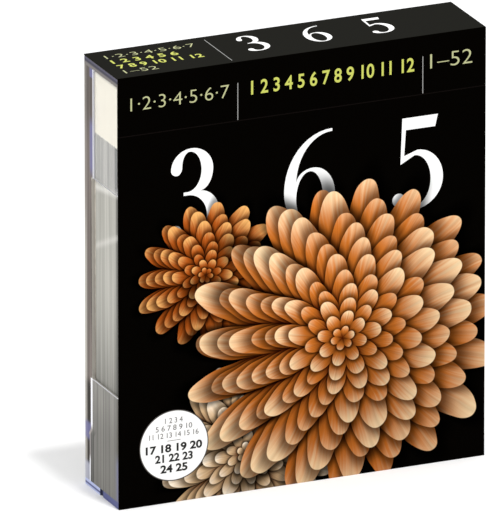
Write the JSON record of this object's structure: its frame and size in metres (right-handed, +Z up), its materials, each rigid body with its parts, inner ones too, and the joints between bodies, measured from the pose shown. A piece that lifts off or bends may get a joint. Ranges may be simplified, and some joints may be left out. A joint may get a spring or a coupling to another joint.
{
  "type": "tear-off day calendar",
  "caption": "Block calendar of day leaves bound at the head under a scored card cover, held in a clear moulded easel case with a folding leg behind.",
  "frame": {"origin": "on the resting surface, under the middle of the case", "axes": "+Z up, +X to the right of someone facing the cover, +Y from the cover to the back of the case"},
  "size_m": [0.1564, 0.0335, 0.178],
  "materials": {
    "clear_plastic": "clear moulded polystyrene with a faint cool tint at its edges",
    "grey_board": "uncoated chipboard",
    "tape": "double-sided mounting tape",
    "bound_paper": "cut edges of unprinted paper",
    "padding_glue": "dried padding glue",
    "printed_card": "black printed card with a satin coating",
    "seal_paper": "white gloss label paper",
    "printed_leaf": "coated printing paper"
  },
  "bodies": {
    "stand": {"easel_case": "clear_plastic", "backing_board": "grey_board", "pad_tape": "tape", "stub_block": "bound_paper", "padding_glue": "padding_glue", "cover_header": "printed_card", "leaves_january": "printed_leaf", "leaves_february": "printed_leaf", "leaves_march": "printed_leaf", "leaves_april": "printed_leaf", "leaves_may": "printed_leaf", "leaves_june": "printed_leaf", "leaves_july": "printed_leaf", "leaves_august": "printed_leaf", "leaves_september": "printed_leaf", "leaves_october": "printed_leaf", "leaves_november": "printed_leaf", "leaves_december": "printed_leaf"},
    "leg": {"easel_leg": "clear_plastic"},
    "cover": {"front_cover": "printed_card", "cover_seal": "seal_paper"},
    "leaf_1": {"leaf_1": "printed_leaf"},
    "leaf_2": {"leaf_2": "printed_leaf"},
    "leaf_3": {"leaf_3": "printed_leaf"},
    "leaf_4": {"leaf_4": "printed_leaf"},
    "leaf_5": {"leaf_5": "printed_leaf"},
    "leaf_6": {"leaf_6": "printed_leaf"}
  },
  "joints": [
    {"name": "leg_swing", "type": "hinge", "parent": "stand", "child": "leg", "pos_m": [0, 0.01368, 0.134], "axis": [1, 0, 0], "range_deg": [0, 30]},
    {"name": "cover_lift", "type": "hinge", "parent": "stand", "child": "cover", "pos_m": [0, -0.01668, 0.154], "axis": [-1, 0, 0], "range_deg": [0, 150]},
    {"name": "leaf_1_lift", "type": "hinge", "parent": "stand", "child": "leaf_1", "pos_m": [0, -0.01608, 0.149], "axis": [-1, 0, 0], "range_deg": [0, 88]},
    {"name": "leaf_2_lift", "type": "hinge", "parent": "stand", "child": "leaf_2", "pos_m": [0, -0.016, 0.149], "axis": [-1, 0, 0], "range_deg": [0, 76]},
    {"name": "leaf_3_lift", "type": "hinge", "parent": "stand", "child": "leaf_3", "pos_m": [0, -0.01593, 0.149], "axis": [-1, 0, 0], "range_deg": [0, 64]},
    {"name": "leaf_4_lift", "type": "hinge", "parent": "stand", "child": "leaf_4", "pos_m": [0, -0.01585, 0.149], "axis": [-1, 0, 0], "range_deg": [0, 52]},
    {"name": "leaf_5_lift", "type": "hinge", "parent": "stand", "child": "leaf_5", "pos_m": [0, -0.01577, 0.149], "axis": [-1, 0, 0], "range_deg": [0, 40]},
    {"name": "leaf_6_lift", "type": "hinge", "parent": "stand", "child": "leaf_6", "pos_m": [0, -0.01569, 0.149], "axis": [-1, 0, 0], "range_deg": [0, 28]}
  ],
  "couplings": [
    {"joint": "leaf_1_lift", "follows": "cover_lift", "ratio": 0.58},
    {"joint": "leaf_2_lift", "follows": "cover_lift", "ratio": 0.5},
    {"joint": "leaf_3_lift", "follows": "cover_lift", "ratio": 0.42},
    {"joint": "leaf_4_lift", "follows": "cover_lift", "ratio": 0.34},
    {"joint": "leaf_5_lift", "follows": "cover_lift", "ratio": 0.26},
    {"joint": "leaf_6_lift", "follows": "cover_lift", "ratio": 0.18}
  ]
}
